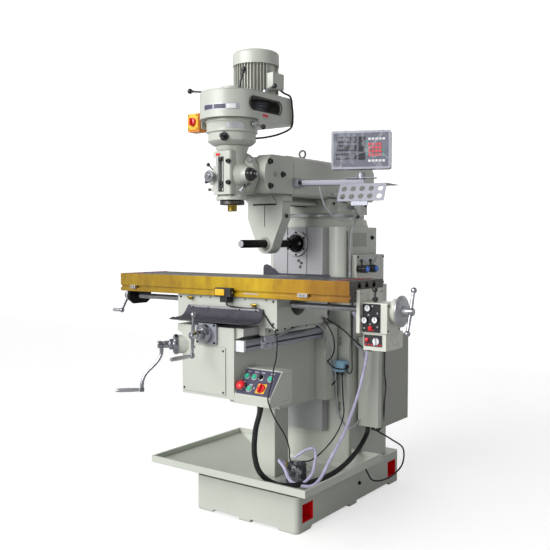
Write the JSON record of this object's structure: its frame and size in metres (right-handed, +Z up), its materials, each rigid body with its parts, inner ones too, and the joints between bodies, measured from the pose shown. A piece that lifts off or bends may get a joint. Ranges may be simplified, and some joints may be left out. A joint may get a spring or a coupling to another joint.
{
  "type": "milling machine",
  "caption": "Knee-type turret milling machine with a tilting vertical head on a ram, a horizontal arbor in an overarm support, a T-slotted table and a digital readout.",
  "frame": {"origin": "floor level at the middle of the base casting", "axes": "+X operator's right along the table, +Y from the operator back to the column, +Z up"},
  "size_m": [1.758, 1.5383, 2.281],
  "materials": {
    "base_casting": "smooth semi-gloss machine paint",
    "chip_tray": "smooth semi-gloss machine paint",
    "screw_pedestal": "smooth semi-gloss machine paint",
    "column": "smooth semi-gloss machine paint",
    "spindle_flange": "ground",
    "horizontal_arbor": "machined and oiled cast iron",
    "gear_change_box": "smooth semi-gloss machine paint",
    "front_gear_lever": "moulded",
    "rear_gear_lever": "moulded",
    "spindle_range_lever": "ground",
    "electrical_cabinet": "smooth semi-gloss machine paint",
    "cabinet_door": "smooth semi-gloss machine paint",
    "coolant_pump": "moulded",
    "turret": "smooth semi-gloss machine paint",
    "ram": "smooth semi-gloss machine paint",
    "arbor_support": "smooth semi-gloss machine paint",
    "ram_pinion_lever": "polished",
    "readout_arm": "satin",
    "readout_display": "satin",
    "ram_adapter": "smooth semi-gloss machine paint",
    "quill_housing": "smooth semi-gloss machine paint",
    "quill_feed_hub": "moulded",
    "quill_lock_lever": "polished",
    "feed_trip_lever": "moulded",
    "gear_housing": "smooth semi-gloss machine paint",
    "feed_selector": "moulded",
    "belt_housing": "smooth semi-gloss machine paint",
    "motor": "smooth semi-gloss machine paint",
    "belt_tension_lever": "moulded",
    "brake_lever": "moulded",
    "motor_clamp_lever": "moulded",
    "high_low_lever": "moulded",
    "cam_switch_box": "smooth semi-gloss machine paint",
    "cam_switch_knob": "glossy",
    "quill": "machined and oiled cast iron",
    "spindle_nose": "polished, lightly oiled",
    "knee": "smooth semi-gloss machine paint",
    "knee_cover": "smooth semi-gloss machine paint",
    "elevating_screw": "ground",
    "elevating_crank": "polished",
    "cross_feed_plate": "satin",
    "cross_feed_screw": "polished",
    "control_box": "smooth semi-gloss machine paint",
    "head_start_button": "glossy",
    "head_reverse_button": "glossy",
    "arbor_start_button": "glossy",
    "coolant_button": "glossy",
    "emergency_stop": "glossy",
    "mode_selector": "moulded",
    "main_switch": "glossy",
    "knee_scale": "satin",
    "saddle": "smooth semi-gloss machine paint",
    "way_apron": "matt folded sheet",
    "limit_switch": "moulded",
    "table": "machined and oiled cast iron",
    "left_end_bracket": "machined and oiled cast iron",
    "power_feed_box": "smooth semi-gloss machine paint",
    "table_screw": "polished",
    "feed_lever": "moulded",
    "feed_selector_switch": "satin"
  },
  "bodies": {
    "frame": {"base_casting": "base_casting", "chip_tray": "chip_tray", "screw_pedestal": "screw_pedestal", "column": "column", "spindle_flange": "spindle_flange", "gear_change_box": "gear_change_box", "electrical_cabinet": "electrical_cabinet", "coolant_pump": "coolant_pump", "turret": "turret"},
    "arbor": {"horizontal_arbor": "horizontal_arbor"},
    "front_gear": {"front_gear_lever": "front_gear_lever"},
    "rear_gear": {"rear_gear_lever": "rear_gear_lever"},
    "spindle_range": {"spindle_range_lever": "spindle_range_lever"},
    "cabinet_door": {"cabinet_door": "cabinet_door"},
    "ram_pinion": {"ram_pinion_lever": "ram_pinion_lever"},
    "ram": {"ram": "ram", "arbor_support": "arbor_support", "readout_arm": "readout_arm"},
    "readout": {"readout_display": "readout_display"},
    "adapter": {"ram_adapter": "ram_adapter"},
    "head": {"quill_housing": "quill_housing", "gear_housing": "gear_housing", "belt_housing": "belt_housing", "motor": "motor", "cam_switch_box": "cam_switch_box"},
    "quill_hub": {"quill_feed_hub": "quill_feed_hub"},
    "quill_lock": {"quill_lock_lever": "quill_lock_lever"},
    "feed_trip": {"feed_trip_lever": "feed_trip_lever"},
    "feed_rate": {"feed_selector": "feed_selector"},
    "belt_tension": {"belt_tension_lever": "belt_tension_lever"},
    "brake": {"brake_lever": "brake_lever"},
    "motor_clamp": {"motor_clamp_lever": "motor_clamp_lever"},
    "high_low": {"high_low_lever": "high_low_lever"},
    "cam_switch": {"cam_switch_knob": "cam_switch_knob"},
    "quill": {"quill": "quill"},
    "spindle": {"spindle_nose": "spindle_nose"},
    "knee": {"knee": "knee", "knee_cover": "knee_cover", "cross_feed_plate": "cross_feed_plate", "control_box": "control_box", "knee_scale": "knee_scale"},
    "lift_screw": {"elevating_screw": "elevating_screw"},
    "lift_crank": {"elevating_crank": "elevating_crank"},
    "cross_screw": {"cross_feed_screw": "cross_feed_screw"},
    "head_start": {"head_start_button": "head_start_button"},
    "head_reverse": {"head_reverse_button": "head_reverse_button"},
    "arbor_start": {"arbor_start_button": "arbor_start_button"},
    "coolant": {"coolant_button": "coolant_button"},
    "stop": {"emergency_stop": "emergency_stop"},
    "mode": {"mode_selector": "mode_selector"},
    "main_switch": {"main_switch": "main_switch"},
    "saddle": {"saddle": "saddle", "way_apron": "way_apron", "limit_switch": "limit_switch"},
    "table": {"table": "table", "left_end_bracket": "left_end_bracket", "power_feed_box": "power_feed_box"},
    "table_screw": {"table_screw": "table_screw"},
    "feed_lever": {"feed_lever": "feed_lever"},
    "feed_switch": {"feed_selector_switch": "feed_selector_switch"}
  },
  "joints": [
    {"name": "arbor_spin", "type": "hinge", "parent": "frame", "child": "arbor", "pos_m": [0, -0.06, 1.355], "axis": [0, -1, 0], "continuous": true},
    {"name": "front_gear_turn", "type": "hinge", "parent": "frame", "child": "front_gear", "pos_m": [0.2806, 0.098, 1.222], "axis": [1, 0, 0], "range_deg": [-60, 60]},
    {"name": "rear_gear_turn", "type": "hinge", "parent": "frame", "child": "rear_gear", "pos_m": [0.2806, 0.194, 1.222], "axis": [1, 0, 0], "range_deg": [-60, 60]},
    {"name": "spindle_range_turn", "type": "hinge", "parent": "frame", "child": "spindle_range", "pos_m": [0.2806, 0.262, 1.246], "axis": [1, 0, 0], "range_deg": [-20, 70]},
    {"name": "cabinet_door_swing", "type": "hinge", "parent": "frame", "child": "cabinet_door", "pos_m": [0.432, 0.3689, 0.636], "axis": [0, 0, 1], "range_deg": [0, 110]},
    {"name": "ram_pinion_turn", "type": "hinge", "parent": "frame", "child": "ram_pinion", "pos_m": [0.1963, 0.15, 1.548], "axis": [1, 0, 0], "range_deg": [-345.8, 231.2]},
    {"name": "ram_slide", "type": "slide", "parent": "frame", "child": "ram", "axis": [0, 1, 0], "range_m": [-0.15, 0.1]},
    {"name": "readout_swivel", "type": "hinge", "parent": "ram", "child": "readout", "pos_m": [0.434, -0.144, 1.7144], "axis": [0, 0, 1], "range_deg": [-60, 60]},
    {"name": "head_nod", "type": "hinge", "parent": "ram", "child": "adapter", "pos_m": [0, -0.426, 1.686], "axis": [1, 0, 0], "range_deg": [-30, 25]},
    {"name": "head_tilt", "type": "hinge", "parent": "adapter", "child": "head", "pos_m": [0, -0.548, 1.686], "axis": [0, 1, 0], "range_deg": [-40, 40]},
    {"name": "quill_hub_turn", "type": "hinge", "parent": "head", "child": "quill_hub", "pos_m": [0.1043, -0.6, 1.676], "axis": [1, 0, 0], "range_deg": [-2, 287.4]},
    {"name": "quill_slide", "type": "slide", "parent": "head", "child": "quill", "axis": [0, 0, 1], "range_m": [-0.127, 0]},
    {"name": "spindle_spin", "type": "hinge", "parent": "quill", "child": "spindle", "pos_m": [0, -0.6, 1.508], "axis": [0, 0, 1], "continuous": true},
    {"name": "quill_lock_turn", "type": "hinge", "parent": "head", "child": "quill_lock", "pos_m": [0.0783, -0.64, 1.6], "axis": [0.8, -0.6, 0], "range_deg": [-45, 45]},
    {"name": "feed_trip_turn", "type": "hinge", "parent": "head", "child": "feed_trip", "pos_m": [-0.0944, -0.6, 1.7], "axis": [-1, 0, 0], "range_deg": [-20, 20]},
    {"name": "feed_rate_turn", "type": "hinge", "parent": "head", "child": "feed_rate", "pos_m": [0.0405, -0.705, 1.844], "axis": [0.36, -0.933, 0], "range_deg": [-60, 60]},
    {"name": "belt_tension_turn", "type": "hinge", "parent": "head", "child": "belt_tension", "pos_m": [-0.1, -0.6, 2.0583], "axis": [0, 0, 1], "range_deg": [-30, 30]},
    {"name": "brake_turn", "type": "hinge", "parent": "head", "child": "brake", "pos_m": [0.076, -0.64, 2.0583], "axis": [0, 0, 1], "range_deg": [-40, 40]},
    {"name": "motor_clamp_turn", "type": "hinge", "parent": "head", "child": "motor_clamp", "pos_m": [0.132, -0.52, 2.0583], "axis": [0, 0, 1], "range_deg": [-70, 5]},
    {"name": "high_low_turn", "type": "hinge", "parent": "head", "child": "high_low", "pos_m": [0.1265, -0.6, 1.904], "axis": [1, 0, 0], "range_deg": [-20, 20]},
    {"name": "cam_switch_turn", "type": "hinge", "parent": "head", "child": "cam_switch", "pos_m": [-0.187, -0.6663, 1.934], "axis": [0, -1, 0], "range_deg": [-60, 60]},
    {"name": "lift_crank_turn", "type": "hinge", "parent": "knee", "child": "lift_crank", "pos_m": [-0.165, -0.77, 0.886], "axis": [-0.7071, -0.7071, 0], "range_deg": [-34600, 13000]},
    {"name": "knee_slide", "type": "slide", "parent": "frame", "child": "knee", "axis": [0, 0, 1], "range_m": [-0.24, 0.09]},
    {"name": "lift_screw_turn", "type": "hinge", "parent": "knee", "child": "lift_screw", "pos_m": [0, -0.285, 0.885], "axis": [0, 0, 1], "range_deg": [-17320, 6520]},
    {"name": "cross_screw_turn", "type": "hinge", "parent": "knee", "child": "cross_screw", "pos_m": [0, -0.78, 0.95], "axis": [0, -1, 0], "range_deg": [-3640, 10840]},
    {"name": "saddle_slide", "type": "slide", "parent": "knee", "child": "saddle", "axis": [0, 1, 0], "range_m": [-0.05, 0.15]},
    {"name": "table_screw_turn", "type": "hinge", "parent": "table", "child": "table_screw", "pos_m": [0.846, -0.535, 1.078], "axis": [1, 0, 0], "range_deg": [-25600, 25600]},
    {"name": "table_slide", "type": "slide", "parent": "saddle", "child": "table", "axis": [1, 0, 0], "range_m": [-0.355, 0.355]},
    {"name": "feed_lever_swing", "type": "hinge", "parent": "table", "child": "feed_lever", "pos_m": [0.74, -0.56, 1.1245], "axis": [0, -1, 0], "range_deg": [-25, 25]},
    {"name": "feed_switch_turn", "type": "hinge", "parent": "table", "child": "feed_switch", "pos_m": [0.765, -0.5923, 0.952], "axis": [0, -1, 0], "range_deg": [-45, 45]},
    {"name": "head_start_press", "type": "slide", "parent": "knee", "child": "head_start", "axis": [0, 0.7682, -0.6402], "range_m": [0, 0.004], "stiffness_N_per_m": 400},
    {"name": "head_reverse_press", "type": "slide", "parent": "knee", "child": "head_reverse", "axis": [0, 0.7682, -0.6402], "range_m": [0, 0.004], "stiffness_N_per_m": 400},
    {"name": "arbor_start_press", "type": "slide", "parent": "knee", "child": "arbor_start", "axis": [0, 0.7682, -0.6402], "range_m": [0, 0.004], "stiffness_N_per_m": 400},
    {"name": "coolant_press", "type": "slide", "parent": "knee", "child": "coolant", "axis": [0, 0.7682, -0.6402], "range_m": [0, 0.004], "stiffness_N_per_m": 400},
    {"name": "stop_press", "type": "slide", "parent": "knee", "child": "stop", "axis": [0, 0.7682, -0.6402], "range_m": [0, 0.005], "stiffness_N_per_m": 800},
    {"name": "mode_turn", "type": "hinge", "parent": "knee", "child": "mode", "pos_m": [0.262, -0.71817, 0.7642], "axis": [0, -0.7682, 0.6402], "range_deg": [-45, 45]},
    {"name": "main_switch_turn", "type": "hinge", "parent": "knee", "child": "main_switch", "pos_m": [0.286, -0.75274, 0.72271], "axis": [0, -0.7682, 0.6402], "range_deg": [0, 90]}
  ],
  "couplings": [
    {"joint": "ram_pinion_turn", "follows": "ram_slide", "rad_per_m": 40},
    {"joint": "quill_hub_turn", "follows": "quill_slide", "rad_per_m": -39.216},
    {"joint": "lift_crank_turn", "follows": "knee_slide", "rad_per_m": 2513.3},
    {"joint": "lift_screw_turn", "follows": "knee_slide", "rad_per_m": 1256.6},
    {"joint": "cross_screw_turn", "follows": "saddle_slide", "rad_per_m": 1256.6},
    {"joint": "table_screw_turn", "follows": "table_slide", "rad_per_m": 1256.6}
  ]
}
